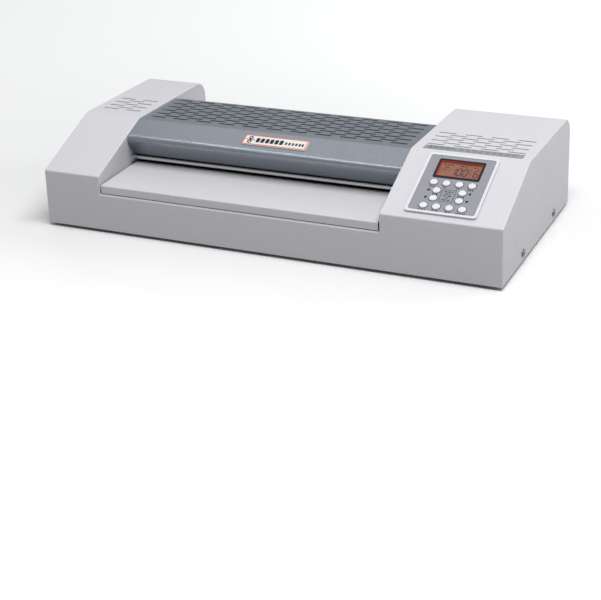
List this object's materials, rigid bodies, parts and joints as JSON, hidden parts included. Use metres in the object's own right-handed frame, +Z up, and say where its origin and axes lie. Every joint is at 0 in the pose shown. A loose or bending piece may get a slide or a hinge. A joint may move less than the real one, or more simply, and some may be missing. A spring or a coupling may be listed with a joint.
{
  "type": "pouch laminator",
  "caption": "Desktop pouch laminator: folded sheet-metal case with a feed table, a slotted roller cover and a tilted key panel with display.",
  "frame": {"origin": "under the middle of the case, at the height its feet stand on", "axes": "+X to the machine's right as the user faces it, +Y towards the back, +Z up"},
  "size_m": [0.5492, 0.265, 0.1093],
  "materials": {
    "case_paint": "fine textured powder coat, satin",
    "cover_paint": "metallic grey powder coat, satin",
    "plated_sheet": "zinc plated",
    "polished_steel": "polished",
    "turned_steel": "turned",
    "aluminium_sheet": "mill finish",
    "silicone": "smooth silicone rubber",
    "foot_rubber": "matt",
    "white_plastic": "satin",
    "button_plastic": "semi-gloss",
    "fascia_film": "printed film, satin",
    "display_plastic": "back-lit display, semi-gloss",
    "board": "green board with parts",
    "label_film": "printed film",
    "badge_plastic": "domed badge",
    "dark_plastic": "moulded",
    "gear_plastic": "nylon",
    "sintered": "heat resistant bush block",
    "lamp_glass": "quartz tube"
  },
  "bodies": {
    "case": {"base_plate": "plated_sheet", "control_board": "board", "cover_screws": "polished_steel", "drive_motor": "plated_sheet", "exit_table": "case_paint", "feed_table": "case_paint", "guide_label": "label_film", "guide_rod": "polished_steel", "heat_shields": "aluminium_sheet", "heater_lamps": "lamp_glass", "idler_stud": "turned_steel", "lamp_holders": "plated_sheet", "lcd_module": "display_plastic", "main_board": "board", "main_cover": "case_paint", "motor_bracket": "plated_sheet", "name_badge": "badge_plastic", "panel_bezel": "white_plastic", "panel_fascia": "fascia_film", "pouch_guides": "aluminium_sheet", "power_inlet": "dark_plastic", "pressure_springs_left": "turned_steel", "pressure_springs_right": "turned_steel", "rod_clips": "plated_sheet", "roller_bushes": "sintered", "rubber_feet": "foot_rubber", "side_frame_left": "plated_sheet", "side_frame_right": "plated_sheet", "switch_housing": "dark_plastic", "tie_bars": "turned_steel", "top_cover": "cover_paint", "transformer": "turned_steel"},
    "key_1": {"button_1": "button_plastic"},
    "key_2": {"button_2": "button_plastic"},
    "key_3": {"button_3": "button_plastic"},
    "key_4": {"button_4": "button_plastic"},
    "key_5": {"button_5": "button_plastic"},
    "key_6": {"button_6": "button_plastic"},
    "key_7": {"button_7": "button_plastic"},
    "key_8": {"button_8": "button_plastic"},
    "key_9": {"button_9": "button_plastic"},
    "key_10": {"button_10": "button_plastic"},
    "key_11": {"button_11": "button_plastic"},
    "key_12": {"button_12": "button_plastic"},
    "roller_front_lower": {"roller_core_front_lower": "turned_steel", "roller_sleeve_front_lower": "silicone", "roller_gear_front_lower": "gear_plastic"},
    "roller_front_upper": {"roller_core_front_upper": "turned_steel", "roller_sleeve_front_upper": "silicone", "roller_gear_front_upper": "gear_plastic"},
    "roller_rear_lower": {"roller_core_rear_lower": "turned_steel", "roller_sleeve_rear_lower": "silicone", "roller_gear_rear_lower": "gear_plastic"},
    "roller_rear_upper": {"roller_core_rear_upper": "turned_steel", "roller_sleeve_rear_upper": "silicone", "roller_gear_rear_upper": "gear_plastic"},
    "idler": {"idler_gear": "gear_plastic"},
    "pinion": {"motor_pinion": "turned_steel"},
    "rocker": {"power_rocker": "dark_plastic"}
  },
  "joints": [
    {"name": "key_1_press", "type": "slide", "parent": "case", "child": "key_1", "axis": [0, 0.386, -0.9225], "range_m": [0, 0.0008], "stiffness_N_per_m": 400, "springref_m": -0.001},
    {"name": "key_2_press", "type": "slide", "parent": "case", "child": "key_2", "axis": [0, 0.386, -0.9225], "range_m": [0, 0.0008], "stiffness_N_per_m": 400, "springref_m": -0.001},
    {"name": "key_3_press", "type": "slide", "parent": "case", "child": "key_3", "axis": [0, 0.386, -0.9225], "range_m": [0, 0.0008], "stiffness_N_per_m": 400, "springref_m": -0.001},
    {"name": "key_4_press", "type": "slide", "parent": "case", "child": "key_4", "axis": [0, 0.386, -0.9225], "range_m": [0, 0.0008], "stiffness_N_per_m": 400, "springref_m": -0.001},
    {"name": "key_5_press", "type": "slide", "parent": "case", "child": "key_5", "axis": [0, 0.386, -0.9225], "range_m": [0, 0.0008], "stiffness_N_per_m": 400, "springref_m": -0.001},
    {"name": "key_6_press", "type": "slide", "parent": "case", "child": "key_6", "axis": [0, 0.386, -0.9225], "range_m": [0, 0.0008], "stiffness_N_per_m": 400, "springref_m": -0.001},
    {"name": "key_7_press", "type": "slide", "parent": "case", "child": "key_7", "axis": [0, 0.386, -0.9225], "range_m": [0, 0.0008], "stiffness_N_per_m": 400, "springref_m": -0.001},
    {"name": "key_8_press", "type": "slide", "parent": "case", "child": "key_8", "axis": [0, 0.386, -0.9225], "range_m": [0, 0.0008], "stiffness_N_per_m": 400, "springref_m": -0.001},
    {"name": "key_9_press", "type": "slide", "parent": "case", "child": "key_9", "axis": [0, 0.386, -0.9225], "range_m": [0, 0.0008], "stiffness_N_per_m": 400, "springref_m": -0.001},
    {"name": "key_10_press", "type": "slide", "parent": "case", "child": "key_10", "axis": [0, 0.386, -0.9225], "range_m": [0, 0.0008], "stiffness_N_per_m": 400, "springref_m": -0.001},
    {"name": "key_11_press", "type": "slide", "parent": "case", "child": "key_11", "axis": [0, 0.386, -0.9225], "range_m": [0, 0.0008], "stiffness_N_per_m": 400, "springref_m": -0.001},
    {"name": "key_12_press", "type": "slide", "parent": "case", "child": "key_12", "axis": [0, 0.386, -0.9225], "range_m": [0, 0.0008], "stiffness_N_per_m": 400, "springref_m": -0.001},
    {"name": "roller_front_lower_spin", "type": "hinge", "parent": "case", "child": "roller_front_lower", "pos_m": [0, -0.032, 0.047], "axis": [1, 0, 0], "continuous": true},
    {"name": "roller_front_upper_spin", "type": "hinge", "parent": "case", "child": "roller_front_upper", "pos_m": [0, -0.032, 0.075], "axis": [1, 0, 0], "continuous": true},
    {"name": "roller_rear_lower_spin", "type": "hinge", "parent": "case", "child": "roller_rear_lower", "pos_m": [0, 0.016, 0.047], "axis": [1, 0, 0], "continuous": true},
    {"name": "roller_rear_upper_spin", "type": "hinge", "parent": "case", "child": "roller_rear_upper", "pos_m": [0, 0.016, 0.075], "axis": [1, 0, 0], "continuous": true},
    {"name": "idler_spin", "type": "hinge", "parent": "case", "child": "idler", "pos_m": [-0.212, -0.008, 0.047], "axis": [1, 0, 0], "continuous": true},
    {"name": "pinion_spin", "type": "hinge", "parent": "case", "child": "pinion", "pos_m": [-0.212, 0.03573, 0.03982], "axis": [1, 0, 0], "continuous": true},
    {"name": "power_switch", "type": "hinge", "parent": "case", "child": "rocker", "pos_m": [0.19, 0.124, 0.034], "axis": [1, 0, 0], "range_deg": [-16, 0]}
  ],
  "couplings": [
    {"joint": "roller_front_upper_spin", "follows": "roller_front_lower_spin", "ratio": -1},
    {"joint": "idler_spin", "follows": "roller_front_lower_spin", "ratio": -1.4},
    {"joint": "roller_rear_lower_spin", "follows": "roller_front_lower_spin", "ratio": 1},
    {"joint": "roller_rear_upper_spin", "follows": "roller_front_lower_spin", "ratio": -1},
    {"joint": "pinion_spin", "follows": "roller_front_lower_spin", "ratio": -2}
  ]
}
